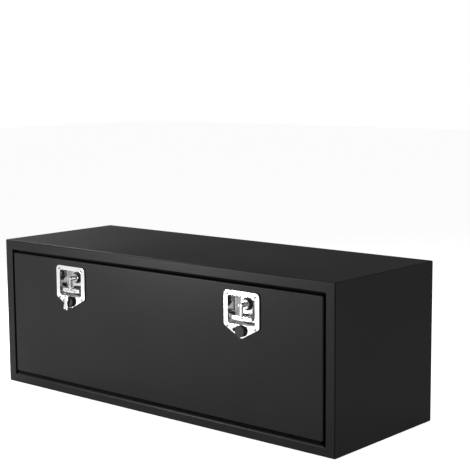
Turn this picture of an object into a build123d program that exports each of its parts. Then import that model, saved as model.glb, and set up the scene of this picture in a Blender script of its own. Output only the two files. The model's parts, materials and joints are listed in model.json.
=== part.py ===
from build123d import *
from math import asin, atan2, cos, degrees, hypot, radians, sin, tan
import os

# An underbody truck tool box: a folded sheet steel case with a drop-down front door, a long
# pinned hinge, two slotted stays and two folding T-handle latches with key locks.
# Millimetres. X runs along the door, Y goes into the box, Z is up, and the origin is the
# middle of the case's underside.

# The case
case_width = 1219.0
case_depth = 432.0
case_height = 432.0
sheet = 1.5
case_bend = 4.0
flush_flange = 14.0

# The front frame, as the widths of its borders round the door opening
border_side = 28.5
border_top = 28.5
border_bottom = 28.5
lip_depth = 26.0
lip_bend = 2.5
bottom_bend = 7.0
stop_flange = 20.0
stop_bend = 2.0
relief_width = 7.0
relief_height = 4.0

# The weather seal
seal_width = 12.0
seal_inset = 5.0
seal_gap = 0.3
seal_round = 1.2

# The door
door_gap = 8.0
door_depth = 20.0
door_bend = 3.0
door_corner = 5.0
door_hem = 14.0
stiffener_offset = 160.0
stiffener_width = 50.0
stiffener_depth = 12.0
stiffener_foot = 12.0
stiffener_bend = 2.5
stiffener_margin = 26.5

# The hinge
hinge_margin = 7.0
hinge_setback = 4.5
hinge_knuckle = 3.2
hinge_pin = 1.5
hinge_leaf = 1.5
hinge_leaf_depth = 15.0
hinge_clearance = 0.3
hinge_knuckles = 24
running_fit = 0.05

# The stays
stay_thickness = 3.0
stay_width = 20.0
stay_inset = 10.0
stay_pivot_share = 0.457
stay_pivot_depth = 26.0
stay_lead_angle = 14.0
door_travel = 90.0
stay_gap = 0.3
stud_radius = 4.0
stud_collar = 7.0
stud_head = 7.0
stud_head_thickness = 2.0
slot_clearance = 0.3
pivot_radius = 3.0
pivot_head = 5.5
bracket_thickness = 2.5
bracket_width = 26.0
bracket_foot = 18.0
bracket_edge = 9.0
case_bracket_height = 36.0

# The latches
latch_offset = 320.0
latch_margin = 17.0
plate_width = 117.0
plate_tip_margin = 19.0
plate_slope = 28.0
plate_corner = 12.0
plate_shoulder = 8.0
plate_tip_round = 14.0
plate_thickness = 1.5
plate_edge = 0.7
gasket_thickness = 2.5
gasket_inset = 0.5
pocket_width = 90.0
pocket_height = 73.5
pocket_margin = 12.0
pocket_corner = 8.0
pocket_depth = 26.5
pocket_draft = 4.0
pocket_floor_round = 2.0
cutout_margin = 3.0
rivet_offset = 46.0
rivet_margin = 10.3
rivet_rise = 8.3
rivet_radius = 2.0
rivet_head = 3.6
rivet_head_height = 1.2
rivet_tail = 3.2
rivet_tail_length = 1.6

# The spindle, its bush and the cam
hub_clearance = 0.3
collar_radius = 11.5
collar_length = 7.0
shaft_radius = 6.5
shaft_proud = 5.0
shaft_chamfer = 1.2
spindle_radius = 6.0
washer_radius = 17.0
washer_thickness = 1.8
bush_barrel = 8.5
bush_flange = 13.0
bush_flange_thickness = 3.0
square_drive = 8.0
stud_thread = 4.0
thread_length = 10.6
cam_thickness = 3.0
cam_gap = 0.4
cam_width = 20.0
cam_margin = 3.0
tail_width = 12.0
tail_rise = 40.0
cam_nut_flats = 13.0
cam_nut_height = 6.5

# The folding T-handle
fold_setback = 7.0
fold_eye = 4.8
fold_pin = 1.6
stem_thickness = 4.6
stem_depth = 8.0
stem_clearance = 0.2
bar_rise = 9.0
bar_side_gap = 11.0
bar_height = 12.6
bar_end_height = 9.6
bar_depth = 10.0
bar_setback = 1.5
bar_end_round = 4.3
bar_edge = 1.5
groove_margin = 7.0
groove_height = 1.8
groove_depth = 1.2

# The lock
lock_drop = 0.2
bezel_radius = 15.5
bezel_depth = 5.0
housing_radius = 9.5
housing_recess = 0.4
housing_length = 25.0
housing_clearance = 0.1
plug_radius = 6.0
plug_recess = 0.2
keyway_width = 2.2
keyway_height = 7.0
lock_nut_radius = 14.0
lock_nut_height = 5.5
tongue_thickness = 2.5
tongue_width = 10.0
tongue_overlap = 12.0
tongue_lean = 17.0
tongue_square = 6.0
tongue_screw_radius = 4.5
tongue_screw_head = 2.1

# The swinging cover over the lock
cover_gap = 0.3
cover_thickness = 3.4
cover_edge = 1.6
ear_radius = 5.0
ear_offset = 18.5
ear_rise = 3.0
cover_pin = 1.5
cover_pin_head = 3.2
cover_pin_head_height = 1.4

# The keys, and the wire loop round the left handle's bar from which they hang
key_thickness = 1.6
key_bow_width = 16.0
key_bow_height = 17.0
key_bow_round = 5.0
key_blade_width = 8.0
key_blade_length = 25.0
key_tip_round = 2.5
key_hole = 1.8
key_hole_margin = 3.4
key_lean = 6.0
key_fan = 9.0
key_spacing = 0.4
key_proud = 11.2
loop_wire = 0.6
loop_offset = 3.8
loop_radius = 8.6
loop_front = 10.0
loop_reach = 6.6
loop_rise = 10.8
loop_drop = 14.8
loop_shoulder = 4.5
loop_back_bend = 8.0
loop_top_bend = 5.0
loop_front_bend = 2.0
loop_tip_bend = 1.5
loop_low_bend = 3.0

# Shared allowances
overrun = 1.0
loose_fit = 0.3
fold_allowance = 0.4
tolerance = 0.001

# Places worked out from the sizes above
front = -case_depth / 2
back = case_depth / 2
half_width = case_width / 2
opening_half = half_width - border_side
opening_bottom = border_bottom
opening_top = case_height - border_top
door_half = opening_half - door_gap
door_bottom = opening_bottom + door_gap
door_top = opening_top - door_gap
door_middle = (door_bottom + door_top) / 2
stiffener_length = door_top - door_bottom - 2 * stiffener_margin
hinge_length = 2 * (door_half - hinge_margin)
plate_top = door_top - latch_margin
pocket_top = plate_top - pocket_margin
pocket_centre = pocket_top - pocket_height / 2
pocket_bottom = pocket_top - pocket_height
hub_height = pocket_top - pocket_draft - pocket_floor_round - washer_radius - hub_clearance
lock_height = pocket_bottom - bezel_radius - lock_drop
plate_tip = lock_height - plate_tip_margin
rivet_upper = plate_top - rivet_margin
rivet_lower = lock_height + rivet_rise
hinge_y = front + hinge_setback
hinge_z = opening_bottom + door_gap / 2
plate_face = front - gasket_thickness - plate_thickness
pocket_floor = plate_face + pocket_depth
pocket_back = pocket_floor + sheet
bush_back = pocket_back + bush_flange_thickness
cam_front = bush_back + cam_gap
cam_back = cam_front + cam_thickness
hub_front = plate_face - shaft_proud
fold_y = hub_front + fold_setback
bar_z = pocket_bottom + bar_rise + bar_height / 2
bar_length = pocket_width - 2 * bar_side_gap
bar_front = plate_face + bar_setback
bar_y = bar_front + bar_depth / 2
bezel_front = plate_face - bezel_depth
housing_front = bezel_front + housing_recess
plug_front = housing_front + plug_recess
cover_back = bezel_front - cover_gap
cover_front = cover_back - cover_thickness
ear_z = lock_height + ear_rise
sides = {"left": -1, "right": 1}


# Small shapes shared by the pieces
def block(x0, x1, y0, y1, z0, z1):
    """A box between two corners, given in any order."""
    size = Box(abs(x1 - x0), abs(y1 - y0), abs(z1 - z0))
    return Pos((x0 + x1) / 2, (y0 + y1) / 2, (z0 + z1) / 2) * size


def rod_x(radius, y, z, x0, x1):
    """A round bar along X."""
    return Pos((x0 + x1) / 2, y, z) * Rot(0, 90, 0) * Cylinder(radius, abs(x1 - x0))


def rod_y(radius, x, z, y0, y1):
    """A round bar along Y."""
    return Pos(x, (y0 + y1) / 2, z) * Rot(90, 0, 0) * Cylinder(radius, abs(y1 - y0))


def slab_y(outline, y0, y1):
    """An outline drawn in X and Z, made solid from y0 back to y1."""
    return extrude(Plane.XZ.offset(-y0) * outline, -(y1 - y0))


def slab_x(outline, x0, x1):
    """An outline drawn in Y and Z, made solid from x0 to x1."""
    return extrude(Plane.YZ.offset(x0) * outline, x1 - x0)


def edges_at_y(shape, y):
    """The edges of a shape that lie at one depth."""
    return shape.edges().filter_by_position(Axis.Y, y - tolerance, y + tolerance)


def polygon(points, radii):
    """A closed outline with a rounded corner of its own radius at each point."""
    return make_face(FilletPolyline(*points, radius=radii, close=True))


def folded_sheet(points, radii, thickness):
    """The section of a bent sheet that lies to the right of a path, each bend with its own radius."""
    ways = [(Vector(b) - Vector(a)).normalized() for a, b in zip(points, points[1:])]
    normals = [Vector(way.Y, -way.X) for way in ways]
    shifts = [normals[0]]
    shifts += [(a + b) / (1 + a.dot(b)) for a, b in zip(normals, normals[1:])]
    shifts.append(normals[-1])
    far_side = [Vector(p) + s * thickness for p, s in zip(points, shifts)]
    turns = [a.X * b.Y - a.Y * b.X for a, b in zip(ways, ways[1:])]
    far_radii = [r + thickness if turn > 0 else r - thickness for r, turn in zip(radii, turns)]
    near = FilletPolyline(*points, radius=radii)
    far = FilletPolyline(*far_side, radius=far_radii)
    ends = [Line(points[0], far_side[0]), Line(points[-1], far_side[-1])]
    return make_face([*near.edges(), *far.edges(), *ends])


def on_side(shape, sign):
    """A piece modelled on the +X side, kept there or mirrored to the -X side."""
    return shape if sign > 0 else mirror(shape, Plane.YZ)


# The case
def case_wrap():
    """Top, back, floor and the two front rails, bent from one sheet."""
    stop_face = front + lip_depth - sheet
    points = [
        (stop_face, opening_top - stop_flange),
        (stop_face, opening_top),
        (front, opening_top),
        (front, case_height),
        (back, case_height),
        (back, 0),
        (front, 0),
        (front, opening_bottom),
        (stop_face, opening_bottom),
        (stop_face, opening_bottom + stop_flange),
    ]
    radii = [stop_bend, lip_bend, case_bend, case_bend, case_bend, case_bend, bottom_bend, stop_bend]
    seam = half_width - flush_flange
    wrap = slab_x(folded_sheet(points, radii, sheet), -seam, seam)
    for sign in sides.values():
        near, far = sign * opening_half, sign * (seam + overrun)
        wrap -= block(near, far, front - overrun, front + case_bend, -overrun, case_height + overrun)
        wrap -= block(near, far, front, front + lip_depth + overrun, case_bend, case_height - case_bend)
        notch = sign * (opening_half - relief_width)
        wrap -= block(
            notch, near,
            front - overrun, front + bottom_bend,
            opening_bottom - relief_height, opening_bottom + overrun,
        )
    return wrap


def end_panel(sign):
    """One end of the case, with flush flanges all round and the front stile of the door frame."""
    middle = Pos(0, 0, case_height / 2)
    shell = middle * fillet(Box(case_width, case_depth, case_height).edges(), case_bend)
    hollow = Box(case_width - 2 * sheet, case_depth - 2 * sheet, case_height - 2 * sheet)
    shell -= middle * fillet(hollow.edges(), case_bend - sheet)
    seam = half_width - flush_flange
    past_top, past_side = case_height + overrun, half_width + overrun
    end = shell & block(seam, past_side, front - overrun, back + overrun, -overrun, past_top)
    end += shell & block(opening_half, seam, front - overrun, front + case_bend, -overrun, past_top)
    end -= block(opening_half - overrun, seam, front - overrun, front + sheet, opening_bottom, opening_top)
    stop_face = front + lip_depth - sheet
    points = [
        (seam, front),
        (opening_half, front),
        (opening_half, stop_face),
        (opening_half - stop_flange, stop_face),
    ]
    stile = extrude(
        Pos(0, 0, opening_bottom) * folded_sheet(points, [lip_bend, stop_bend], sheet),
        opening_top - opening_bottom,
    )
    flange_reach = opening_half - stop_flange - overrun
    for low, high in (
        (opening_bottom - overrun, opening_bottom + stop_flange),
        (opening_top - stop_flange, opening_top + overrun),
    ):
        stile -= block(flange_reach, opening_half, front + sheet, front + lip_depth + overrun, low, high)
    return on_side(end + stile, sign)


def weather_seal():
    """A rubber ring on the front of the stop flange, just behind the closed door."""
    face = front + lip_depth - sheet
    middle = Pos(0, (opening_bottom + opening_top) / 2)
    outer_width = 2 * (opening_half - seal_inset)
    outer_height = opening_top - opening_bottom - 2 * seal_inset
    ring = middle * RectangleRounded(outer_width, outer_height, door_corner)
    ring -= middle * RectangleRounded(
        outer_width - 2 * seal_width, outer_height - 2 * seal_width, door_corner
    )
    door_back = front + door_depth + seal_gap
    seal = slab_y(ring, door_back, face)
    return fillet(edges_at_y(seal, door_back), seal_round)


# The door
def door_outline(inset):
    """The door's outline in X and Z, drawn in from its edge all round."""
    width = 2 * (door_half - inset)
    height = door_top - door_bottom - 2 * inset
    return Pos(0, door_middle) * RectangleRounded(width, height, door_corner)


def door_panel():
    """The door skin: a shallow pan with a hem turned in at its back, cut out for the latches."""
    behind = front + door_depth
    outer = slab_y(door_outline(0), front, behind)
    outer = fillet(edges_at_y(outer, front), door_bend)
    hollow = slab_y(door_outline(sheet), front + sheet, behind - sheet)
    hollow = fillet(edges_at_y(hollow, front + sheet), door_bend - sheet)
    panel = outer - hollow
    panel -= slab_y(door_outline(door_hem), behind - sheet - overrun, behind + overrun)
    for sign in sides.values():
        x = sign * latch_offset
        cutout = Pos(x, pocket_centre) * RectangleRounded(
            pocket_width + 2 * cutout_margin, pocket_height + 2 * cutout_margin, pocket_corner
        )
        panel -= slab_y(cutout, front - overrun, front + sheet + overrun)
        hole = housing_radius + housing_clearance
        panel -= rod_y(hole, x, lock_height, front - overrun, front + sheet + overrun)
        for rx, rz in rivet_places(x):
            panel -= rod_y(rivet_radius, rx, rz, front - overrun, front + sheet + overrun)
    return panel


def door_stiffener(sign):
    """A hat section standing inside the door skin."""
    inner = front + sheet
    crown = inner + stiffener_depth
    foot = stiffener_width / 2 + stiffener_foot
    wall = stiffener_width / 2
    points = [
        (-foot, inner + sheet),
        (-wall, inner + sheet),
        (-wall, crown),
        (wall, crown),
        (wall, inner + sheet),
        (foot, inner + sheet),
    ]
    radii = [stiffener_bend, stiffener_bend, stiffener_bend, stiffener_bend]
    hat = folded_sheet(points, radii, sheet)
    low = door_middle - stiffener_length / 2
    return Pos(sign * stiffener_offset, 0, low) * extrude(hat, stiffener_length)


# The hinge
def knuckle_spans(which):
    """The X spans of every other knuckle, starting with the first or the second."""
    pitch = hinge_length / hinge_knuckles
    for i in range(which, hinge_knuckles, 2):
        start = -hinge_length / 2 + i * pitch
        yield start, start + pitch


def hinge_half(which, low, high):
    """A leaf between two heights with its own knuckles, cut back beside the other leaf's."""
    reach = hinge_knuckle + hinge_clearance
    leaf_back = hinge_y + hinge_leaf_depth
    half = block(-hinge_length / 2, hinge_length / 2, hinge_y + reach, leaf_back, low, high)
    for start, end in knuckle_spans(which):
        a, b = start + hinge_clearance / 2, end - hinge_clearance / 2
        half += rod_x(hinge_knuckle, hinge_y, hinge_z, a, b)
        half += block(a, b, hinge_y, hinge_y + reach, low, high)
    bore = hinge_pin + running_fit
    return half - rod_x(bore, hinge_y, hinge_z, -hinge_length, hinge_length)


def hinge_case_leaf():
    return hinge_half(0, opening_bottom, opening_bottom + hinge_leaf)


def hinge_door_leaf():
    return hinge_half(1, door_bottom - hinge_leaf, door_bottom)


def hinge_pin_rod():
    return rod_x(hinge_pin, hinge_y, hinge_z, -hinge_length / 2, hinge_length / 2)


# The stays. Both of a stay's pins lie on one circle round the hinge, so the arm turns
# exactly half as far as the door.
pivot_y = front + stay_pivot_depth
pivot_z = hinge_z + (door_top - hinge_z) * stay_pivot_share
stay_circle = hypot(pivot_y - hinge_y, pivot_z - hinge_z)
stud_angle = degrees(atan2(pivot_y - hinge_y, pivot_z - hinge_z)) + stay_lead_angle
stud_y = hinge_y + stay_circle * sin(radians(stud_angle))
stud_z = hinge_z + stay_circle * cos(radians(stud_angle))
stay_tilt = degrees(atan2(stud_z - pivot_z, stud_y - pivot_y))
slot_near = 2 * stay_circle * sin(radians(stay_lead_angle) / 2)
slot_far = 2 * stay_circle * sin(radians(stay_lead_angle + door_travel) / 2)
stay_outer = opening_half - stop_flange - stay_inset
stay_inner = stay_outer - stay_thickness
bracket_face = stay_inner - stay_gap


def stay_arm(sign):
    """A flat bar with a pivot hole at the door and a long slot over the case's stud."""
    slot_radius = stud_radius + slot_clearance
    end = slot_far + slot_radius + stay_width / 2
    length = end + stay_width / 2
    bar = Pos((end - stay_width / 2) / 2, 0) * SlotOverall(length, stay_width)
    bar -= Circle(pivot_radius + running_fit)
    slot_length = slot_far - slot_near + 2 * slot_radius
    bar -= Pos((slot_near + slot_far) / 2, 0) * SlotOverall(slot_length, 2 * slot_radius)
    arm = slab_x(bar, 0, stay_thickness)
    arm = Pos(stay_inner, pivot_y, pivot_z) * Rot(stay_tilt, 0, 0) * arm
    return on_side(arm, sign)


def stay_bracket(sign):
    """An angle on the back of the stop flange, which carries the stay's stud."""
    foot_front = front + lip_depth
    inner = opening_half - stop_flange
    low = stud_z - case_bracket_height / 2
    high = stud_z + case_bracket_height / 2
    foot_outer = inner + bracket_foot - bracket_thickness
    foot_back = foot_front + bracket_thickness
    bracket = block(inner, foot_outer, foot_front, foot_back, low, high)
    bracket += block(inner, inner + bracket_thickness, foot_front, stud_y + bracket_edge, low, high)
    bracket -= rod_x(stud_radius, stud_y, stud_z, inner - overrun, inner + bracket_foot)
    return on_side(bracket, sign)


def stay_stud(sign):
    """A shouldered stud riveted into the case bracket, with a head that keeps the arm on."""
    leg = opening_half - stop_flange
    head_outer = stay_inner - stay_gap
    stud = rod_x(stud_collar, stud_y, stud_z, stay_outer + stay_gap, leg)
    stud += rod_x(stud_radius, stud_y, stud_z, head_outer, leg + bracket_thickness)
    stud += rod_x(stud_head, stud_y, stud_z, head_outer - stud_head_thickness, head_outer)
    return on_side(stud, sign)


def door_bracket(sign):
    """An angle on the inside of the door skin, which carries the stay's pivot."""
    skin = front + sheet
    low, high = pivot_z - bracket_width / 2, pivot_z + bracket_width / 2
    outer = bracket_face
    inner = outer - bracket_thickness
    bracket = block(outer - bracket_foot, outer, skin, skin + bracket_thickness, low, high)
    bracket += block(inner, outer, skin, pivot_y + bracket_edge, low, high)
    bracket -= rod_x(pivot_radius, pivot_y, pivot_z, inner - overrun, outer + overrun)
    return on_side(bracket, sign)


def door_pivot(sign):
    """The headed pin on which the stay turns, riveted into the door bracket."""
    inner = bracket_face - bracket_thickness
    outer = stay_outer + stay_gap
    pin = rod_x(pivot_radius, pivot_y, pivot_z, inner, outer)
    pin += rod_x(pivot_head, pivot_y, pivot_z, outer, outer + stud_head_thickness)
    pin += rod_x(pivot_head, pivot_y, pivot_z, inner - stud_head_thickness, inner)
    return on_side(pin, sign)


# The latches
def rivet_places(x):
    """The X and Z of a latch plate's four rivets."""
    return [(x + s * rivet_offset, z) for z in (rivet_upper, rivet_lower) for s in (-1, 1)]


def plate_outline(x, inset):
    """The latch plate's shield outline: straight sides and a rounded point at the bottom."""
    half = plate_width / 2 - inset
    slope = radians(plate_slope)
    point = plate_tip - plate_tip_round * (1 / cos(slope) - 1) + inset / cos(slope)
    shoulder = point + half * tan(slope)
    top = plate_top - inset
    points = [
        (x - half, top), (x + half, top),
        (x + half, shoulder), (x, point), (x - half, shoulder),
    ]
    return polygon(points, [plate_corner, plate_corner, plate_shoulder, plate_tip_round, plate_shoulder])


def pocket_outline(x, grow):
    """The pocket's rounded mouth, drawn larger or smaller all round."""
    return Pos(x, pocket_centre) * RectangleRounded(
        pocket_width + 2 * grow, pocket_height + 2 * grow, pocket_corner + grow / 2
    )


def pocket_solid(x, wall, start, end):
    """The tapered space of the pocket, or with a wall its outside, between two depths."""
    sections = []
    for y in (start, end):
        share = (y - wall - plate_face) / pocket_depth if wall else (y - plate_face) / pocket_depth
        grow = wall - pocket_draft * share
        sections.append(Plane.XZ.offset(-y) * pocket_outline(x, grow))
    return loft(sections)


def latch_plate(x):
    """The polished steel plate with its drawn pocket."""
    plate = slab_y(plate_outline(x, 0), plate_face, plate_face + plate_thickness)
    plate = fillet(edges_at_y(plate, plate_face), plate_edge)
    shell = pocket_solid(x, sheet, plate_face + plate_thickness / 2, pocket_back)
    shell = fillet(edges_at_y(shell, pocket_back), pocket_floor_round + sheet)
    space = pocket_solid(x, 0, plate_face - overrun, pocket_floor)
    space = fillet(edges_at_y(space, pocket_floor), pocket_floor_round)
    plate = plate + shell - space
    plate -= rod_y(bush_barrel, x, hub_height, plate_face, pocket_back + overrun)
    plate -= rod_y(housing_radius, x, lock_height, plate_face - overrun, front)
    for rx, rz in rivet_places(x):
        plate -= rod_y(rivet_radius, rx, rz, plate_face - overrun, front)
    return plate


def latch_gasket(x):
    """A thin rubber sheet between the latch plate and the door skin."""
    gasket = slab_y(plate_outline(x, gasket_inset), front - gasket_thickness, front)
    margin = pocket_outline(x, cutout_margin)
    gasket -= slab_y(margin, front - gasket_thickness - overrun, front + overrun)
    gasket -= rod_y(housing_radius, x, lock_height, front - gasket_thickness - overrun, front + overrun)
    for rx, rz in rivet_places(x):
        gasket -= rod_y(rivet_radius, rx, rz, front - gasket_thickness - overrun, front + overrun)
    return gasket


def latch_rivets(x):
    """Four domed rivets, closed behind the door skin."""
    skin = front + sheet
    bodies = []
    for rx, rz in rivet_places(x):
        head = rod_y(rivet_head, rx, rz, plate_face - rivet_head_height, plate_face)
        head = fillet(edges_at_y(head, plate_face - rivet_head_height), rivet_head_height * 0.8)
        rivet = head + rod_y(rivet_radius, rx, rz, plate_face, skin)
        bodies.append(rivet + rod_y(rivet_tail, rx, rz, skin, skin + rivet_tail_length))
    return Compound(children=bodies)


def floor_washer(x):
    """The black ring on the pocket's floor, under the hub's collar."""
    washer = rod_y(washer_radius, x, hub_height, pocket_floor - washer_thickness, pocket_floor)
    bore = spindle_radius + loose_fit
    start = pocket_floor - washer_thickness - overrun
    return washer - rod_y(bore, x, hub_height, start, pocket_floor + overrun)


def spindle_bush(x):
    """A flanged bush through the pocket's floor, in which the spindle turns."""
    bush = rod_y(bush_barrel, x, hub_height, pocket_floor, pocket_back)
    bush += rod_y(bush_flange, x, hub_height, pocket_back, bush_back)
    bore = spindle_radius + running_fit
    return bush - rod_y(bore, x, hub_height, pocket_floor - overrun, bush_back + overrun)


def spindle(x):
    """The turning hub: slotted front, collar, round journal, square drive and threaded end."""
    collar_back = pocket_floor - washer_thickness - fold_allowance
    hub = rod_y(shaft_radius, x, hub_height, hub_front, collar_back)
    hub = chamfer(edges_at_y(hub, hub_front), shaft_chamfer)
    hub += rod_y(collar_radius, x, hub_height, collar_back - collar_length, collar_back)
    hub += rod_y(spindle_radius, x, hub_height, collar_back, cam_front)
    half = square_drive / 2
    hub += block(x - half, x + half, cam_front, cam_back, hub_height - half, hub_height + half)
    hub += rod_y(stud_thread, x, hub_height, cam_back, cam_back + thread_length)
    slot = stem_thickness / 2 + stem_clearance
    reach = fold_eye + fold_allowance
    hub -= block(
        x - slot, x + slot,
        hub_front - overrun, fold_y + reach,
        hub_height - shaft_radius - overrun, hub_height + reach,
    )
    return hub - rod_x(fold_pin, fold_y, hub_height, x - shaft_radius, x + shaft_radius)


def handle_pin(x):
    """The cross pin on which the T-handle folds."""
    half = (shaft_radius ** 2 - fold_pin ** 2) ** 0.5
    return rod_x(fold_pin, fold_y, hub_height, x - half, x + half)


def cam(x):
    """The flat cam: its long end goes behind the frame, its tail meets the lock's tongue."""
    top, low = opening_top - cam_margin, lock_height + tail_rise
    half, tail = cam_width / 2, tail_width / 2
    waist = hub_height - half
    points = [
        (x - tail, low), (x + tail, low), (x + tail, waist - tail), (x + half, waist),
        (x + half, top), (x - half, top), (x - half, waist), (x - tail, waist - tail),
    ]
    soft = bar_edge
    radii = [soft, soft, soft, soft, tail, tail, soft, soft]
    plate = slab_y(polygon(points, radii), cam_front, cam_back)
    hole = square_drive / 2
    return plate - block(
        x - hole, x + hole,
        cam_front - overrun, cam_back + overrun,
        hub_height - hole, hub_height + hole,
    )


def cam_nut(x):
    """The hexagon nut that holds the cam on the spindle."""
    ring = Pos(x, hub_height) * RegularPolygon(cam_nut_flats / 2, 6, major_radius=False)
    nut = slab_y(ring, cam_back, cam_back + cam_nut_height)
    return nut - rod_y(stud_thread, x, hub_height, cam_back - overrun, cam_back + cam_nut_height + overrun)


def t_handle(x):
    """The folding T: an eye on the cross pin, a stem and a grooved crossbar."""
    half, end = bar_length / 2, bar_end_height / 2
    middle = half / 2
    tall = bar_height / 2
    points = [
        (x - half, bar_z + end), (x - middle, bar_z + tall), (x + middle, bar_z + tall),
        (x + half, bar_z + end), (x + half, bar_z - end), (x + middle, bar_z - tall),
        (x - middle, bar_z - tall), (x - half, bar_z - end),
    ]
    radii = [bar_end_round, tall, tall, bar_end_round, bar_end_round, tall, tall, bar_end_round]
    bar_back = bar_front + bar_depth
    bar = slab_y(polygon(points, radii), bar_front, bar_back)
    bar = fillet(edges_at_y(bar, bar_front) + edges_at_y(bar, bar_back), bar_edge)
    groove = Pos(x, bar_z) * SlotOverall(bar_length - 2 * groove_margin, groove_height)
    bar -= slab_y(groove, bar_front - overrun, bar_front + groove_depth)
    side = stem_thickness / 2
    stem = block(x - side, x + side, fold_y - stem_depth / 2, fold_y + stem_depth / 2, bar_z, hub_height)
    eye = rod_x(fold_eye, fold_y, hub_height, x - side, x + side)
    bore = rod_x(fold_pin + running_fit, fold_y, hub_height, x - shaft_radius, x + shaft_radius)
    return bar + stem + eye - bore


# The locks
def eared_disc(x, start, end):
    """A disc round the lock with an ear for the cover's pivot at its side."""
    disc = rod_y(bezel_radius, x, lock_height, start, end)
    ear = rod_y(ear_radius, x - ear_offset, ear_z, start, end)
    neck = block(x - ear_offset, x, start, end, ear_z - ear_radius, ear_z + ear_radius)
    return disc + ear + neck


def lock_bezel(x):
    """The black moulded ring round the lock."""
    bezel = eared_disc(x, bezel_front, plate_face)
    bezel -= rod_y(housing_radius, x, lock_height, bezel_front - overrun, plate_face + overrun)
    return bezel - rod_y(cover_pin, x - ear_offset, ear_z, bezel_front - overrun, plate_face + overrun)


def lock_cover(x):
    """The black cover that swings aside from the keyway, in its closed place."""
    cover = eared_disc(x, cover_front, cover_back)
    cover = fillet(edges_at_y(cover, cover_front), cover_edge)
    bore = cover_pin + running_fit
    return cover - rod_y(bore, x - ear_offset, ear_z, cover_front - overrun, cover_back + overrun)


def cover_pivot(x):
    """The round-headed pin on which the cover swings, pressed into the bezel's ear."""
    ear_x = x - ear_offset
    head_back = cover_front - cover_gap
    head_front = head_back - cover_pin_head_height
    head = rod_y(cover_pin_head, ear_x, ear_z, head_front, head_back)
    head = fillet(edges_at_y(head, head_front), cover_pin_head_height / 2)
    return head + rod_y(cover_pin, ear_x, ear_z, head_back, plate_face)


def lock_housing(x):
    """The lock's cylinder body, through the plate and the door skin."""
    end = housing_front + housing_length
    body = rod_y(housing_radius, x, lock_height, housing_front, end)
    bore = plug_radius + running_fit
    return body - rod_y(bore, x, lock_height, housing_front - overrun, end + overrun)


def lock_nut(x):
    """The round nut that clamps the lock behind the door skin."""
    start = front + sheet
    nut = rod_y(lock_nut_radius, x, lock_height, start, start + lock_nut_height)
    return nut - rod_y(housing_radius, x, lock_height, start - overrun, start + lock_nut_height + overrun)


def lock_plug(x):
    """The keyed plug, square at its back for the tongue."""
    plug = rod_y(plug_radius, x, lock_height, plug_front, cam_front)
    half = tongue_square / 2
    tongue_back = cam_front + tongue_thickness
    drive = block(-half, half, cam_front, tongue_back, -half, half)
    plug += Pos(x, 0, lock_height) * Rot(0, -tongue_lean, 0) * drive
    wide, tall = keyway_width / 2, keyway_height / 2
    keyway_end = plug_front + key_blade_length
    return plug - block(
        x - wide, x + wide,
        plug_front - overrun, keyway_end,
        lock_height - tall, lock_height + tall,
    )


def lock_tongue(x):
    """The flat tongue: it points aside while unlocked, and stands beside the cam's tail when locked."""
    half = tongue_width / 2
    start, end = -half, tail_rise + tongue_overlap
    bar = Pos(-(start + end) / 2, 0) * SlotOverall(end - start, tongue_width)
    bar -= Rectangle(tongue_square, tongue_square)
    tongue = slab_y(bar, cam_front, cam_front + tongue_thickness)
    return Pos(x, 0, lock_height) * Rot(0, -tongue_lean, 0) * tongue


def tongue_screw(x):
    """The round-headed screw that holds the tongue on the plug."""
    start = cam_front + tongue_thickness
    screw = rod_y(tongue_screw_radius, x, lock_height, start, start + tongue_screw_head)
    return fillet(edges_at_y(screw, start + tongue_screw_head), tongue_screw_head / 2)


# The keys and their loop
loop_x = -latch_offset - loop_offset
loop_z = bar_z - loop_drop
hole_z = loop_z - key_hole + loop_wire + loose_fit
key_back = plate_face - key_proud


def key(order, lean):
    """A flat key that hangs by its hole from the loop, the first one at the back."""
    top = hole_z + key_hole_margin
    bow_low = top - key_bow_height
    bow = Pos(loop_x, (top + bow_low) / 2)
    flat = bow * RectangleRounded(key_bow_width, key_bow_height, key_bow_round)
    low = bow_low - key_blade_length
    high = bow_low + key_bow_round
    blade = Pos(loop_x, (low + high) / 2)
    flat += blade * RectangleRounded(key_blade_width, high - low, key_tip_round)
    flat -= Pos(loop_x, hole_z) * Circle(key_hole)
    end = key_back - order * (key_thickness + key_spacing)
    return slab_y(flat, end - key_thickness, end).rotate(Axis((loop_x, 0, loop_z), (0, 1, 0)), lean)


def key_loop():
    """A closed wire: loosely round the bar, forward over the pocket's lip and along the keys' holes."""
    points = [
        (bar_y + loop_radius, bar_z + loop_radius),
        (bar_y + loop_radius, bar_z - loop_radius),
        (plate_face - loop_front, loop_z),
        (plate_face - loop_front - loop_reach, loop_z),
        (plate_face - loop_front - loop_reach, loop_z + loop_rise),
        (bar_y - loop_shoulder, bar_z + loop_radius),
    ]
    radii = [
        loop_back_bend, loop_back_bend, loop_low_bend,
        loop_tip_bend, loop_front_bend, loop_top_bend,
    ]
    path = Plane.YZ.offset(loop_x) * FilletPolyline(*points, radius=radii, close=True)
    return sweep(Plane(path @ 0, z_dir=path % 0) * Circle(loop_wire), path=path)


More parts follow.
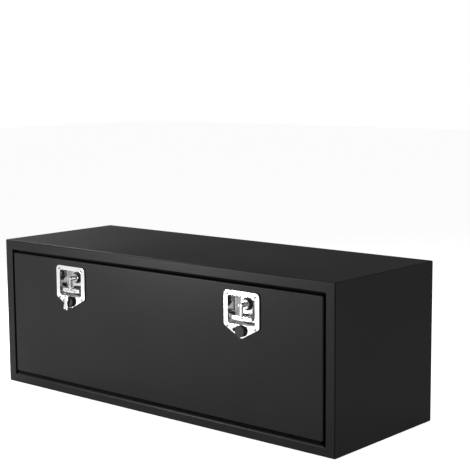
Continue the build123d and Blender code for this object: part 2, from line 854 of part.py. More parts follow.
# Every piece by its node name
pieces = {
    "case_wrap": case_wrap(),
    "weather_seal": weather_seal(),
    "hinge_case_leaf": hinge_case_leaf(),
    "hinge_pin": hinge_pin_rod(),
    "hinge_door_leaf": hinge_door_leaf(),
    "door_panel": door_panel(),
    "key_loop": key_loop(),
    "key_rear": key(0, key_lean + key_fan),
    "key_front": key(1, key_lean - key_fan),
}
for side, sign in sides.items():
    latch_x = sign * latch_offset
    pieces[f"end_panel_{side}"] = end_panel(sign)
    pieces[f"stay_bracket_{side}"] = stay_bracket(sign)
    pieces[f"stay_stud_{side}"] = stay_stud(sign)
    pieces[f"stay_arm_{side}"] = stay_arm(sign)
    pieces[f"door_bracket_{side}"] = door_bracket(sign)
    pieces[f"door_pivot_{side}"] = door_pivot(sign)
    pieces[f"door_stiffener_{side}"] = door_stiffener(sign)
    pieces[f"latch_plate_{side}"] = latch_plate(latch_x)
    pieces[f"latch_gasket_{side}"] = latch_gasket(latch_x)
    pieces[f"latch_rivets_{side}"] = latch_rivets(latch_x)
    pieces[f"floor_washer_{side}"] = floor_washer(latch_x)
    pieces[f"spindle_bush_{side}"] = spindle_bush(latch_x)
    pieces[f"spindle_{side}"] = spindle(latch_x)
    pieces[f"handle_pin_{side}"] = handle_pin(latch_x)
    pieces[f"cam_{side}"] = cam(latch_x)
    pieces[f"cam_nut_{side}"] = cam_nut(latch_x)
    pieces[f"t_handle_{side}"] = t_handle(latch_x)
    pieces[f"lock_bezel_{side}"] = lock_bezel(latch_x)
    pieces[f"lock_cover_{side}"] = lock_cover(latch_x)
    pieces[f"cover_pivot_{side}"] = cover_pivot(latch_x)
    pieces[f"lock_housing_{side}"] = lock_housing(latch_x)
    pieces[f"lock_nut_{side}"] = lock_nut(latch_x)
    pieces[f"lock_plug_{side}"] = lock_plug(latch_x)
    pieces[f"lock_tongue_{side}"] = lock_tongue(latch_x)
    pieces[f"tongue_screw_{side}"] = tongue_screw(latch_x)

os.makedirs("parts", exist_ok=True)
for node, shape in pieces.items():
    export_step(shape, f"parts/{node}.step")
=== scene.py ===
import json
import math

import bmesh
import bpy
from mathutils import Matrix, Vector


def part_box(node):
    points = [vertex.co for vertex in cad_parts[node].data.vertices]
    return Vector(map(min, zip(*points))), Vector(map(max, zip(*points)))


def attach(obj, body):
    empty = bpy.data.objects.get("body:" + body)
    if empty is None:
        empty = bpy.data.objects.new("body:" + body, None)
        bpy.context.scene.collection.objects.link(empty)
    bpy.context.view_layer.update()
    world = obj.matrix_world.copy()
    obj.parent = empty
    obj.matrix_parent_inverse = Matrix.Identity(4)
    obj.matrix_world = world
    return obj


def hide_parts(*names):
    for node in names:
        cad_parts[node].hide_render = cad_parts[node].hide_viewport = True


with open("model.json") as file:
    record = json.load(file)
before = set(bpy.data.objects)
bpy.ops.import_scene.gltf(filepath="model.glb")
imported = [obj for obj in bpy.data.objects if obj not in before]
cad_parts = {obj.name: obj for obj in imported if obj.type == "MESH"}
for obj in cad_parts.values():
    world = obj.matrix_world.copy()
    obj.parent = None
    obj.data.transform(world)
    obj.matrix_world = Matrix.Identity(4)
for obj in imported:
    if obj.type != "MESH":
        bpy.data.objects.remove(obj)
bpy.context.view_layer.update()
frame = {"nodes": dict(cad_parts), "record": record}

# An underbody truck tool box, dressed on its CAD frame: finishes, small detail pieces and the
# stage. Lengths are in metres, and MM turns millimetres into them.
MM = 0.001
SIDES = {"left": -1, "right": 1}
X_AXIS = Vector((1, 0, 0))
Y_AXIS = Vector((0, 1, 0))
Z_AXIS = Vector((0, 0, 1))
FORWARD = Vector((0, -1, 0))

# Where painted shade darkens a steel behind its bright front, as two depths along Y
POCKET_DEPTHS = (-0.2192, -0.2120)
HANDLE_DEPTHS = (-0.2180, -0.2168)
HUB_DEPTHS = (-0.2236, -0.2200)

# How bright the steel is behind those depths, under its painted shade
HANDLE_SHADE = 0.20
HUB_SHADE = 0.32

# The Mix node repeats its socket names for each kind of data, so its colours go by number
MIX_FIRST_COLOUR = 6
MIX_SECOND_COLOUR = 7
MIX_RESULT_COLOUR = 2

# Edges sharper than this stay sharp on the detail pieces
SHARP_ANGLE = math.radians(35)


# Node materials
class Shader:
    """A node material with one Principled BSDF, built up by small calls."""

    def __init__(self, name, **constants):
        self.material = bpy.data.materials.new(name)
        self.material.use_nodes = True
        self.tree = self.material.node_tree
        self.bsdf = self.tree.nodes["Principled BSDF"]
        for socket, value in constants.items():
            self.bsdf.inputs[socket.replace("_", " ")].default_value = value

    def node(self, kind, inputs=None, **settings):
        """A new node, its inputs linked where they are given a socket and set otherwise."""
        new = self.tree.nodes.new(kind)
        for key, value in settings.items():
            setattr(new, key, value)
        for key, value in (inputs or {}).items():
            if isinstance(value, bpy.types.NodeSocket):
                self.tree.links.new(value, new.inputs[key])
            else:
                new.inputs[key].default_value = value
        return new

    def place(self, scale=(1, 1, 1)):
        """Coordinates in metres of the piece's own frame, stretched along the axes."""
        source = self.node("ShaderNodeTexCoord").outputs["Object"]
        return self.node("ShaderNodeMapping", {"Vector": source, "Scale": scale}).outputs[0]

    def noise(self, scale, detail=3.0, roughness=0.55, stretch=(1, 1, 1)):
        """Noise of a scale in spots per metre."""
        inputs = {
            "Vector": self.place(stretch), "Scale": scale,
            "Detail": detail, "Roughness": roughness,
        }
        return self.node("ShaderNodeTexNoise", inputs).outputs["Fac"]

    def span(self, value, low, high, start=0.3, end=0.7):
        """A value's middle part, spread over a range of numbers."""
        inputs = {
            "Value": value, "From Min": start, "From Max": end, "To Min": low, "To Max": high,
        }
        return self.node("ShaderNodeMapRange", inputs).outputs[0]

    def blend_colours(self, value, first, second, start=0.35, end=0.65):
        """A colour that goes from the first to the second over a value's middle part."""
        ramp = self.node("ShaderNodeValToRGB", {"Fac": value})
        ramp.color_ramp.elements[0].position = start
        ramp.color_ramp.elements[1].position = end
        ramp.color_ramp.elements[0].color = (*first, 1)
        ramp.color_ramp.elements[1].color = (*second, 1)
        return ramp.outputs["Color"]

    def to(self, socket, value):
        """Link a value to one of the shader's own sockets."""
        self.tree.links.new(value, self.bsdf.inputs[socket])

    def bump(self, *layers):
        """Height layers of (value, depth in metres), one on the other, in the coat too."""
        normal = None
        for value, depth in layers:
            inputs = {"Height": value, "Distance": depth, "Strength": 1.0}
            if normal is not None:
                inputs["Normal"] = normal
            normal = self.node("ShaderNodeBump", inputs).outputs["Normal"]
        self.to("Normal", normal)
        if self.bsdf.inputs["Coat Weight"].default_value > 0:
            self.to("Coat Normal", normal)


def powder_coat():
    """Satin black powder: a matt body with a faint, soft gloss over it."""
    s = Shader(
        "powder_coat",
        Specular_IOR_Level=0.0, Coat_Weight=0.045, Coat_Roughness=0.28, Coat_IOR=2.8,
    )
    dark, light = (0.0215, 0.0215, 0.0219), (0.0265, 0.0265, 0.0270)
    s.to("Base Color", s.blend_colours(s.noise(3.0, 2), dark, light))
    s.to("Roughness", s.span(s.noise(60, 3), 0.84, 0.92))
    s.bsdf.distribution = "GGX"
    s.bump((s.noise(420, 2), 0.16 * MM), (s.noise(1500, 2), 0.10 * MM))
    return s.material


def hinge_paint_and_shade():
    """The hinge's thin, dark paint, made darker than the powder coat as painted shade in the gap
    under the door.
    """
    s = Shader("hinge_paint_and_shade", Specular_IOR_Level=0.0)
    dark, light = (0.0100, 0.0100, 0.0102), (0.0140, 0.0140, 0.0143)
    s.to("Base Color", s.blend_colours(s.noise(40, 3), dark, light))
    s.to("Roughness", s.span(s.noise(300, 3), 0.80, 0.90))
    s.bump((s.noise(900, 2), 0.04 * MM))
    return s.material


def paint_depth_shade(s, bright, shaded, depths):
    """Bright in front of the first depth along Y, painted shade darkening it behind the second."""
    place = s.node("ShaderNodeTexCoord").outputs["Object"]
    depth = s.node("ShaderNodeSeparateXYZ", {"Vector": place}).outputs["Y"]
    inside = s.span(depth, 0.0, 1.0, *depths)
    mix = s.node("ShaderNodeMix", {"Factor": inside}, data_type="RGBA")
    s.tree.links.new(bright, mix.inputs[MIX_FIRST_COLOUR])
    s.tree.links.new(shaded, mix.inputs[MIX_SECOND_COLOUR])
    s.to("Base Color", mix.outputs[MIX_RESULT_COLOUR])


def polished_steel():
    """Mirror bright on the plates' faces, and darker behind them in the drawn pockets, as painted
    shade.
    """
    s = Shader("polished_steel", Metallic=1.0)
    face = s.blend_colours(s.noise(45, 3), (0.74, 0.74, 0.745), (0.80, 0.80, 0.805))
    # Painted shade: the steel in the pockets is darker than on the faces
    pocket_shade = s.blend_colours(s.noise(60, 3), (0.48, 0.48, 0.485), (0.60, 0.60, 0.605))
    paint_depth_shade(s, face, pocket_shade, POCKET_DEPTHS)
    hairline = s.noise(900, 3, 0.6, stretch=(0.03, 1, 1))
    s.to("Roughness", s.span(hairline, 0.045, 0.10))
    s.bump((s.noise(28, 2), 0.16 * MM), (hairline, 0.003 * MM))
    return s.material


def handle_steel(name, depths, shade):
    """The handles' and hubs' steel: bright in front, with painted shade darkening it in grooves
    and behind.
    """
    s = Shader(name, Metallic=1.0)
    front = s.blend_colours(s.noise(90, 3), (0.56, 0.56, 0.565), (0.68, 0.68, 0.685))
    # Painted shade for the grooves and the parts behind the front
    low, high = (shade, shade, shade), (shade * 1.4, shade * 1.4, shade * 1.4)
    paint_depth_shade(s, front, s.blend_colours(s.noise(120, 3), low, high), depths)
    s.to("Roughness", s.span(s.noise(700, 3), 0.07, 0.14))
    s.bump((s.noise(140, 2), 0.06 * MM))
    return s.material


def satin_steel():
    """The duller finish of the rivet heads on the polished plates."""
    s = Shader("satin_steel", Metallic=1.0)
    dark, light = (0.13, 0.13, 0.13), (0.20, 0.20, 0.20)
    s.to("Base Color", s.blend_colours(s.noise(400, 3), dark, light))
    s.to("Roughness", s.span(s.noise(900, 3), 0.24, 0.36))
    s.bump((s.noise(1500, 2), 0.02 * MM))
    return s.material


def plated_steel():
    """The cool grey plating of the stays, studs, pivots, bushes, cams and locks."""
    s = Shader("plated_steel", Metallic=1.0)
    dark, light = (0.50, 0.51, 0.52), (0.62, 0.63, 0.63)
    s.to("Base Color", s.blend_colours(s.noise(120, 4), dark, light))
    s.to("Roughness", s.span(s.noise(300, 3), 0.26, 0.42))
    s.bump((s.noise(800, 2), 0.02 * MM))
    return s.material


def black_plastic():
    """The lock covers', their pivots' and the washers' plastic, with a moulded grain."""
    s = Shader("black_plastic", Specular_IOR_Level=0.30)
    dark, light = (0.010, 0.010, 0.011), (0.017, 0.017, 0.018)
    s.to("Base Color", s.blend_colours(s.noise(90, 2), dark, light))
    s.to("Roughness", s.span(s.noise(500, 3), 0.48, 0.62))
    s.bump((s.noise(700, 2), 0.06 * MM), (s.noise(2200, 2), 0.02 * MM))
    return s.material


def black_rubber():
    """The dull rubber of the seal and gaskets, which the end seams have too; the bezels take it as
    painted shade on their sides.
    """
    s = Shader("black_rubber", Specular_IOR_Level=0.15)
    dark, light = (0.0040, 0.0040, 0.0040), (0.0070, 0.0070, 0.0070)
    s.to("Base Color", s.blend_colours(s.noise(70, 3), dark, light))
    s.to("Roughness", s.span(s.noise(400, 3), 0.75, 0.88))
    s.bump((s.noise(1200, 3), 0.06 * MM))
    return s.material


def key_metal():
    """The keys' and the wire loop's warm metal, brushed along the keys."""
    s = Shader("key_metal", Metallic=1.0)
    dark, light = (0.38, 0.375, 0.36), (0.54, 0.53, 0.51)
    s.to("Base Color", s.blend_colours(s.noise(260, 4), dark, light))
    brushed = s.noise(1400, 3, 0.6, stretch=(1, 1, 0.04))
    s.to("Roughness", s.span(brushed, 0.16, 0.32))
    s.bump((brushed, 0.01 * MM))
    return s.material


MATERIALS = {
    "powder_coat": powder_coat(),
    "polished_steel": polished_steel(),
    "plated_steel": plated_steel(),
    "black_plastic": black_plastic(),
    "black_rubber": black_rubber(),
    "key_metal": key_metal(),
}
HUB_STEEL = handle_steel("hub_steel", HUB_DEPTHS, HUB_SHADE)

# Nodes with one of these words in their name have a finish other than their slot's; for the hinge,
# handle, spindles and bezels it carries painted shade
FINISHES_AND_PAINTED_SHADE = {
    "hinge": hinge_paint_and_shade(),
    "rivets": satin_steel(),
    "t_handle": handle_steel("handle_steel", HANDLE_DEPTHS, HANDLE_SHADE),
    "spindle_left": HUB_STEEL,
    "spindle_right": HUB_STEEL,
    # Painted shade: the bezels take the rubber's darker black to darken their sides
    "bezel": MATERIALS["black_rubber"],
}
for part in frame["record"]["subparts"]:
    node = frame["nodes"][part["node"]]
    node.data.materials.clear()
    finish = MATERIALS[part["material_slot"]]
    for word, special in FINISHES_AND_PAINTED_SHADE.items():
        if word in part["node"]:
            finish = special
    node.data.materials.append(finish)


# Detail pieces, each on the body that carries it
class Surface:
    """Rows of points joined into quads, collected for one mesh."""

    def __init__(self):
        self.points = []
        self.faces = []

    def tube(self, rings, closed=False):
        """Rings of equal count joined in turn, capped unless the tube closes on itself."""
        start, count = len(self.points), len(rings[0])
        for ring in rings:
            self.points.extend(ring)
        for i in range(len(rings) if closed else len(rings) - 1):
            near = start + i * count
            far = start + (i + 1) % len(rings) * count
            for j in range(count):
                k = (j + 1) % count
                self.faces.append((near + j, near + k, far + k, far + j))
        if not closed:
            last = start + (len(rings) - 1) * count
            self.faces.append(tuple(range(start + count - 1, start - 1, -1)))
            self.faces.append(tuple(range(last, last + count)))

    def piece(self, name, body, slot):
        """Make the collected surface a piece of its own."""
        mesh = bpy.data.meshes.new(name)
        mesh.from_pydata(self.points, [], self.faces)
        add_piece(name, mesh, body, slot)


def add_piece(name, mesh, body, slot):
    """A new piece that rides a body, in its slot's material, its normals made to agree."""
    work = bmesh.new()
    work.from_mesh(mesh)
    bmesh.ops.recalc_face_normals(work, faces=work.faces)
    work.to_mesh(mesh)
    work.free()
    mesh.materials.clear()
    mesh.materials.append(MATERIALS[slot])
    mesh.shade_smooth()
    mesh.set_sharp_from_angle(angle=SHARP_ANGLE)
    piece = bpy.data.objects.new(name, mesh)
    bpy.context.collection.objects.link(piece)
    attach(piece, body)
    return piece


def ring_points(centre, first, second, radius, flat=1.0, count=12):
    """A closed ring of points round a centre, in the plane of two directions."""
    turns = [2 * math.pi * i / count for i in range(count)]
    return [
        centre + first * radius * math.cos(t) + second * radius * flat * math.sin(t)
        for t in turns
    ]


def weld_bead(surface, start, end, up, radius):
    """A rippled bead along a straight joint, tapered at both ends."""
    ripple, ripple_depth, rings_per_ripple, fewest_rings = 1.7 * MM, 0.13, 4, 12
    end_share = 0.35
    along = (end - start).normalized()
    side = along.cross(up)
    length = (end - start).length
    steps = max(fewest_rings, int(length / ripple * rings_per_ripple))
    rings = []
    for i in range(steps + 1):
        s = length * i / steps
        taper = min(1.0, end_share + s / radius, end_share + (length - s) / radius)
        wave = 1.0 - ripple_depth * abs(math.cos(math.pi * s / ripple))
        rings.append(ring_points(start + along * s, up, side, radius * taper * wave, count=10))
    surface.tube(rings)


def thread(surface, x, z, y0, y1, radius, pitch, depth):
    """A screw thread round an axis along Y, run out at both ends."""
    per_turn = 24
    crest_half, root_half = 0.08, 0.42
    lift, sunk = 0.02 * MM, 0.15 * MM
    steps = int((y1 - y0) / pitch * per_turn)
    rings = []
    for i in range(steps + 1):
        turn = 2 * math.pi * i / per_turn
        y = y0 + (y1 - y0) * i / steps
        run_out = min(1.0, i / per_turn, (steps - i) / per_turn)
        crest, root = radius + depth * run_out + lift, radius - sunk
        profile = (
            (root, -root_half), (crest, -crest_half), (crest, crest_half), (root, root_half),
        )
        rings.append([
            Vector((x + r * math.cos(turn), y + share * pitch, z + r * math.sin(turn)))
            for r, share in profile
        ])
    surface.tube(rings)


def spot_weld(surface, x, y, z):
    """A pressed spot on a face that looks along +Y: a low ring round a shallow middle."""
    # Radius and height of each ring, in millimetres
    profile = ((3.3, -0.10), (3.0, 0.12), (2.4, 0.24), (1.8, 0.10), (0.8, 0.04), (0.2, 0.04))
    surface.tube([
        ring_points(Vector((x, y + height * MM, z)), X_AXIS, Z_AXIS, radius * MM, count=20)
        for radius, height in profile
    ])


def rounded_outline(x0, x1, z0, z1, radius, steps=8):
    """The points of a rounded rectangle in a plane, one corner after another."""
    corners = ((x1, z1, 0), (x0, z1, 90), (x0, z0, 180), (x1, z0, 270))
    points = []
    for x, z, first in corners:
        cx = x - math.copysign(radius, x - (x0 + x1) / 2)
        cz = z - math.copysign(radius, z - (z0 + z1) / 2)
        for i in range(steps + 1):
            turn = math.radians(first + 90 * i / steps)
            points.append((cx + radius * math.cos(turn), cz + radius * math.sin(turn)))
    return points


def bead_round(surface, outline, y, radius, proud):
    """A round bead that follows a closed outline on a face at y, standing proud of it."""
    rings = []
    for i, (x, z) in enumerate(outline):
        (ax, az), (bx, bz) = outline[i - 1], outline[(i + 1) % len(outline)]
        along = Vector((bx - ax, 0, bz - az)).normalized()
        outward = Vector((along.z, 0, -along.x))
        rings.append(ring_points(Vector((x, y + radius - proud, z)), outward, FORWARD, radius))
    surface.tube(rings, closed=True)


def axis_of(node):
    """X and Z of the middle of a node that is round about an axis along Y."""
    low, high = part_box(node)
    return (low.x + high.x) / 2, (low.z + high.z) / 2


def latch_rims():
    """The drawn edge of each latch plate's pocket stands up as a small polished bead."""
    half_width, height, corner, top = 45 * MM, 73.5 * MM, 8 * MM, 12 * MM
    outside, bead, proud = 1 * MM, 1.1 * MM, 0.7 * MM
    for side in SIDES:
        low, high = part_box(f"latch_plate_{side}")
        x = (low.x + high.x) / 2
        outline = rounded_outline(
            x - half_width - outside, x + half_width + outside,
            high.z - top - height - outside, high.z - top + outside, corner + outside,
        )
        surface = Surface()
        bead_round(surface, outline, low.y, bead, proud)
        surface.piece(f"pocket_rim_{side}", "door", "polished_steel")


def lock_thread(side):
    """The thread on the lock's housing, behind its nut."""
    x, z = axis_of(f"lock_housing_{side}")
    low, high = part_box(f"lock_housing_{side}")
    nut_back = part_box(f"lock_nut_{side}")[1].y
    pitch, depth, front_gap, back_gap = 1.25 * MM, 0.45 * MM, 0.6 * MM, 0.8 * MM
    radius = (high.x - low.x) / 2
    surface = Surface()
    thread(surface, x, z, nut_back + front_gap, high.y - back_gap, radius, pitch, depth)
    surface.piece(f"lock_thread_{side}", "door", "plated_steel")


def nut_grips(side):
    """Short rounded grips all round the lock's nut."""
    x, z = axis_of(f"lock_housing_{side}")
    low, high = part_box(f"lock_nut_{side}")
    grip_radius = (high.x - low.x) / 2
    grips = 28
    # Share of the nut's depth, and radius in millimetres, of each ring
    profile = ((0.06, 0.35), (0.14, 0.8), (0.86, 0.8), (0.94, 0.35))
    surface = Surface()
    for i in range(grips):
        turn = 2 * math.pi * i / grips
        out = Vector((math.cos(turn), 0, math.sin(turn)))
        across = Vector((-out.z, 0, out.x))
        rings = []
        for share, size in profile:
            centre = Vector((x, low.y + (high.y - low.y) * share, z)) + out * grip_radius
            rings.append(ring_points(centre, out, across, size * MM, count=8))
        surface.tube(rings)
    surface.piece(f"lock_nut_grips_{side}", "door", "plated_steel")


def plug_ring(side):
    """A fine raised ring on the plug's face, which turns with the key."""
    x, z = axis_of(f"lock_housing_{side}")
    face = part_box(f"lock_plug_{side}")[0].y
    radius, bead, proud, points = 4.7 * MM, 0.32 * MM, 0.2 * MM, 40
    turns = [2 * math.pi * i / points for i in range(points)]
    circle = [(x + radius * math.cos(turn), z + radius * math.sin(turn)) for turn in turns]
    surface = Surface()
    bead_round(surface, circle, face, bead, proud)
    surface.piece(f"plug_ring_{side}", f"lock_{side}", "plated_steel")


def lock_details():
    """Threads, grips and rings that show on the locks, with the door or a cover open."""
    for side in SIDES:
        lock_thread(side)
        nut_grips(side)
        plug_ring(side)


def spindle_threads():
    """The thread that stands out behind each cam's nut."""
    radius, pitch, depth, front_gap, back_gap = 4 * MM, MM, 0.35 * MM, 0.45 * MM, 0.4 * MM
    for side in SIDES:
        x, z = axis_of(f"spindle_{side}")
        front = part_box(f"cam_nut_{side}")[1].y + front_gap
        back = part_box(f"spindle_{side}")[1].y - back_gap
        surface = Surface()
        thread(surface, x, z, front, back, radius, pitch, depth)
        surface.piece(f"spindle_thread_{side}", f"hub_{side}", "polished_steel")


def stiffener_welds():
    """Rows of spot welds along the feet of both stiffeners."""
    sheet, foot, spots = 1.5 * MM, 12 * MM, 6
    surface = Surface()
    for side in SIDES:
        low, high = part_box(f"door_stiffener_{side}")
        for x in (low.x + foot / 2, high.x - foot / 2):
            for i in range(spots):
                z = low.z + (high.z - low.z) * (i + 0.5) / spots
                spot_weld(surface, x, low.y + sheet, z)
    surface.piece("stiffener_spot_welds", "door", "powder_coat")


def end_seams():
    """The dark seam that shows round each end of the case, along its rounded edges."""
    inset, half_width, flatness, corner = 1.17 * MM, 1.6 * MM, 0.25, 3 * MM
    for side, sign in SIDES.items():
        low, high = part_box(f"end_panel_{side}")
        x = (high.x if sign > 0 else low.x) - sign * inset
        outline = rounded_outline(
            low.y + inset, high.y - inset, low.z + inset, high.z - inset, corner
        )
        rings = []
        for i, (y, z) in enumerate(outline):
            (ay, az), (by, bz) = outline[i - 1], outline[(i + 1) % len(outline)]
            along = Vector((0, by - ay, bz - az)).normalized()
            outward = along.cross(X_AXIS)
            across = (outward - sign * X_AXIS).normalized()
            out = (outward + sign * X_AXIS).normalized()
            rings.append(ring_points(Vector((x, y, z)), across, out, half_width, flatness))
        surface = Surface()
        surface.tube(rings, closed=True)
        surface.piece(f"end_seam_{side}", "case", "black_rubber")


def bracket_welds():
    """The beads that hold the stays' brackets, on the door's skin and the case's flange."""
    margin, bead = 2 * MM, 1.9 * MM
    door, case = Surface(), Surface()
    for side in SIDES:
        for surface, node in ((door, "door_bracket"), (case, "stay_bracket")):
            low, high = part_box(f"{node}_{side}")
            for z in (low.z, high.z):
                start = Vector((low.x + margin, low.y, z))
                end = Vector((high.x - margin, low.y, z))
                weld_bead(surface, start, end, Y_AXIS, bead)
    door.piece("door_bracket_welds", "door", "powder_coat")
    case.piece("case_bracket_welds", "case", "powder_coat")


# The keys are drawn in millimetres, X across and Z up, from the middle of the bow's top edge
BOW_HALF_WIDTH = 8.0
BLADE_HALF_WIDTH = 4.0
FIRST_CUT = -22.0
CUT_PITCH = 3.6
KEY_THICKNESS = 1.6
KEY_BEVEL = 0.18
KEY_HOLE_DROP = 3.4
KEY_HOLE_RADIUS = 1.8
GROOVE_DEPTH = 0.45
GROOVE_TOP = -19.0
GROOVE_FOOT = -40.5

# The point on the loop that the keys swing about, and the height of their holes' middles
LOOP_X = -323.8 * MM
LOOP_Z = 293.5 * MM
HOLE_Z = 292.6 * MM

# Each key's node, how far it leans in degrees, and how deep its cuts are
KEYS = (
    ("key_rear", 15.0, (1.2, 2.0, 1.5, 2.3, 1.0)),
    ("key_front", -3.0, (1.8, 1.1, 2.2, 1.4, 2.0)),
)


def key_outline(cuts):
    """A key's outline round its bow and down its blade, with the cuts along one edge."""
    bow, blade = BOW_HALF_WIDTH, BLADE_HALF_WIDTH
    points = [
        (-blade, -17.0), (-bow + 1.5, -16.2), (-bow, -13.5), (-bow, -4.5),
        (-bow + 1.5, -1.6), (-bow + 4.5, 0.0), (bow - 4.5, 0.0), (bow - 1.5, -1.6),
        (bow, -4.5), (bow, -13.5), (bow - 1.5, -16.2), (blade, -17.0), (blade, -20.5),
    ]
    z = FIRST_CUT
    for depth in cuts:
        points += [
            (blade, z + 0.9), (blade - depth, z - 0.5), (blade - depth, z - 1.3), (blade, z - 2.4),
        ]
        z -= CUT_PITCH
    return points + [(blade, -39.6), (1.4, -42.0), (-1.8, -42.0), (-blade, -39.8)]


def evaluated_mesh(shape):
    """A mesh of an object with its modifiers or its curve's bevel applied."""
    ready = shape.evaluated_get(bpy.context.evaluated_depsgraph_get())
    return bpy.data.meshes.new_from_object(ready)


def flat_metal(name, outline, hole, thickness, bevel):
    """A bevelled flat mesh of an outline with a round hole, lying in X and Z."""
    curve = bpy.data.curves.new(name, "CURVE")
    curve.dimensions = "2D"
    curve.fill_mode = "BOTH"
    curve.extrude = thickness / 2 - bevel
    curve.bevel_depth = bevel
    curve.bevel_resolution = 1
    curve.offset = -bevel
    x, z, radius = hole
    hole_points = 24
    turns = [math.tau * i / hole_points for i in range(hole_points)]
    circle = [(x + radius * math.cos(turn), z + radius * math.sin(turn)) for turn in turns]
    for points in (outline, circle):
        line = curve.splines.new("POLY")
        line.points.add(len(points) - 1)
        for place, (across, up) in zip(line.points, points):
            place.co = (across, up, 0, 1)
        line.use_cyclic_u = True
    shape = bpy.data.objects.new(name + "_outline", curve)
    bpy.context.collection.objects.link(shape)
    mesh = evaluated_mesh(shape)
    bpy.data.objects.remove(shape)
    mesh.transform(Matrix.Rotation(math.radians(90), 4, "X"))
    return mesh


def box_object(name, low, high):
    """A box between two corners, to cut with."""
    work = bmesh.new()
    bmesh.ops.create_cube(work, size=1.0)
    place = Matrix.Translation((low + high) / 2) @ Matrix.Diagonal((*(high - low), 1))
    bmesh.ops.transform(work, matrix=place, verts=work.verts)
    mesh = bpy.data.meshes.new(name)
    work.to_mesh(mesh)
    work.free()
    box = bpy.data.objects.new(name, mesh)
    bpy.context.collection.objects.link(box)
    return box


def milled(mesh, grooves):
    """The mesh with straight grooves cut out of it, each given as a low and a high corner."""
    body = bpy.data.objects.new("blank", mesh)
    bpy.context.collection.objects.link(body)
    cutters = [box_object("cutter", low, high) for low, high in grooves]
    for cutter in cutters:
        cut = body.modifiers.new("cut", "BOOLEAN")
        cut.operation = "DIFFERENCE"
        cut.solver = "EXACT"
        cut.object = cutter
    result = evaluated_mesh(body)
    for spare in (body, *cutters):
        bpy.data.objects.remove(spare)
    return result


def keys():
    """Both keys with their cuts and milled grooves, where the CAD's plain keys hang."""
    face, past = KEY_THICKNESS / 2, 1.0
    # Each groove's two edges across the blade, and its two depths from front to back
    sides = (
        ((-1.9, -0.5), (-face - past, -face + GROOVE_DEPTH)),
        ((0.6, 1.8), (face - GROOVE_DEPTH, face + past)),
    )
    grooves = [
        (Vector((x0, y0, GROOVE_FOOT)), Vector((x1, y1, GROOVE_TOP)))
        for (x0, x1), (y0, y1) in sides
    ]
    hole = (0.0, -KEY_HOLE_DROP, KEY_HOLE_RADIUS)
    for node, lean, cuts in KEYS:
        low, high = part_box(node)
        mesh = flat_metal(node, key_outline(cuts), hole, KEY_THICKNESS, KEY_BEVEL)
        mesh = milled(mesh, grooves)
        mesh.transform(Matrix.Scale(MM, 4))
        drop = HOLE_Z - LOOP_Z + KEY_HOLE_DROP * MM
        hung = Matrix.Translation((0, (low.y + high.y) / 2, drop))
        leaning = Matrix.Rotation(math.radians(lean), 4, "Y")
        mesh.transform(Matrix.Translation((LOOP_X, 0, LOOP_Z)) @ leaning @ hung)
        piece = add_piece(f"{node}_cut", mesh, "keys", "key_metal")
        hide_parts(node)


latch_rims()
lock_details()
spindle_threads()
stiffener_welds()
end_seams()
bracket_welds()
keys()


# Stage: floor, background, lights and camera
WHITE = (1, 1, 1, 1)
FLOOR_COLOUR = (0.82, 0.82, 0.82, 1)
FLOOR_HALF_SIZE = 14.0
FLOOR_DROP = 0.4 * MM
FLOOR_GLOW = 0.90
AMBIENT = 0.08

# Name, place, what it is aimed at, width and height in metres, and power in watts
LAMPS = (
    ("key", (-1.18, -1.74, 0.42), (0.12, -0.2, 0.40), (0.55, 0.35), 21),
    ("side", (1.9, -0.5, 1.0), (0.6, -0.15, 0.35), (0.5, 0.4), 4.2),
    ("top", (-1.5, 0.4, 1.4), (-0.5, 0.0, 0.43), (0.8, 0.6), 41),
)

# The camera fitted to the seven corners of the case that the photograph shows
CAMERA_PLACE = (2.29956, -2.53265, 0.92953)
CAMERA_RIGHT = Vector((0.75731, 0.65301, -0.00705))
CAMERA_DOWN = Vector((0.08146, -0.10517, -0.99111))
CAMERA_FORWARD = Vector((-0.64795, 0.75001, -0.13284))
LENS = 94.372
SENSOR_WIDTH = 36.0


def shown_rays(tree):
    """One for rays from the camera and for those that a mirror or glass sends on, else zero."""
    path = tree.nodes.new("ShaderNodeLightPath")
    seen = path.outputs["Is Camera Ray"]
    for ray in ("Is Glossy Ray", "Is Transmission Ray"):
        most = tree.nodes.new("ShaderNodeMath")
        most.operation = "MAXIMUM"
        tree.links.new(seen, most.inputs[0])
        tree.links.new(path.outputs[ray], most.inputs[1])
        seen = most.outputs[0]
    return seen


def floor_material():
    """Pale and matt. A glow of its own whitens it without lighting the object."""
    material = bpy.data.materials.new("pale_floor")
    material.use_nodes = True
    tree = material.node_tree
    bsdf = tree.nodes["Principled BSDF"]
    bsdf.inputs["Base Color"].default_value = FLOOR_COLOUR
    bsdf.inputs["Roughness"].default_value = 0.9
    bsdf.inputs["Specular IOR Level"].default_value = 0.0
    glow = tree.nodes.new("ShaderNodeEmission")
    times = tree.nodes.new("ShaderNodeMath")
    times.operation = "MULTIPLY"
    times.inputs[1].default_value = FLOOR_GLOW
    tree.links.new(shown_rays(tree), times.inputs[0])
    tree.links.new(times.outputs[0], glow.inputs["Strength"])
    add = tree.nodes.new("ShaderNodeAddShader")
    tree.links.new(bsdf.outputs[0], add.inputs[0])
    tree.links.new(glow.outputs[0], add.inputs[1])
    tree.links.new(add.outputs[0], tree.nodes["Material Output"].inputs["Surface"])
    return material


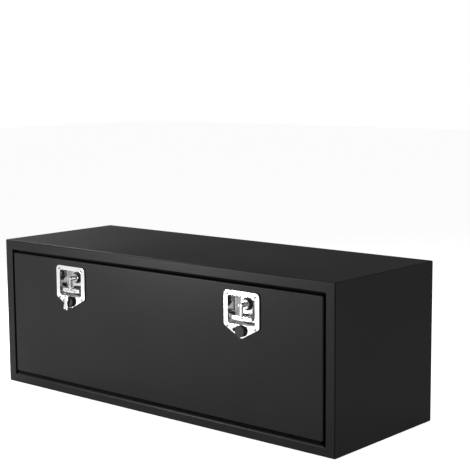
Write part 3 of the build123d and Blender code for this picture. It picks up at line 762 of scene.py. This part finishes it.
def make_floor():
    """A wide floor, just below the case's underside."""
    mesh = bpy.data.meshes.new("floor")
    half = FLOOR_HALF_SIZE
    corners = [(-half, -half, 0), (half, -half, 0), (half, half, 0), (-half, half, 0)]
    mesh.from_pydata(corners, [], [(0, 1, 2, 3)])
    mesh.materials.append(floor_material())
    floor = bpy.data.objects.new("floor", mesh)
    floor.location.z = -FLOOR_DROP
    bpy.context.collection.objects.link(floor)


def make_world():
    """White where it is seen or mirrored, and a weak even light for everything else."""
    world = bpy.data.worlds.new("studio")
    bpy.context.scene.world = world
    world.use_nodes = True
    tree = world.node_tree
    ambient = tree.nodes["Background"]
    white = tree.nodes.new("ShaderNodeBackground")
    for background, strength in ((ambient, AMBIENT), (white, 1.0)):
        background.inputs["Color"].default_value = WHITE
        background.inputs["Strength"].default_value = strength
    mix = tree.nodes.new("ShaderNodeMixShader")
    tree.links.new(shown_rays(tree), mix.inputs["Fac"])
    tree.links.new(ambient.outputs[0], mix.inputs[1])
    tree.links.new(white.outputs[0], mix.inputs[2])
    tree.links.new(mix.outputs[0], tree.nodes["World Output"].inputs["Surface"])


def area_light(name, place, target, size, power):
    """A rectangular lamp aimed at a point."""
    light = bpy.data.lights.new(name, "AREA")
    light.shape = "RECTANGLE"
    light.size, light.size_y = size
    light.energy = power
    lamp = bpy.data.objects.new(name, light)
    lamp.location = place
    aim = Vector(target) - Vector(place)
    lamp.rotation_euler = aim.to_track_quat("-Z", "Y").to_euler()
    bpy.context.collection.objects.link(lamp)


def make_camera():
    """The photograph's camera."""
    data = bpy.data.cameras.new("camera")
    data.lens = LENS
    data.sensor_width = SENSOR_WIDTH
    camera = bpy.data.objects.new("camera", data)
    turn = Matrix((CAMERA_RIGHT, -CAMERA_DOWN, -CAMERA_FORWARD)).transposed()
    camera.matrix_world = Matrix.Translation(CAMERA_PLACE) @ turn.to_4x4()
    bpy.context.collection.objects.link(camera)
    bpy.context.scene.camera = camera


make_floor()
make_world()
for lamp in LAMPS:
    area_light(*lamp)
make_camera()
bpy.context.scene.view_settings.view_transform = "Standard"
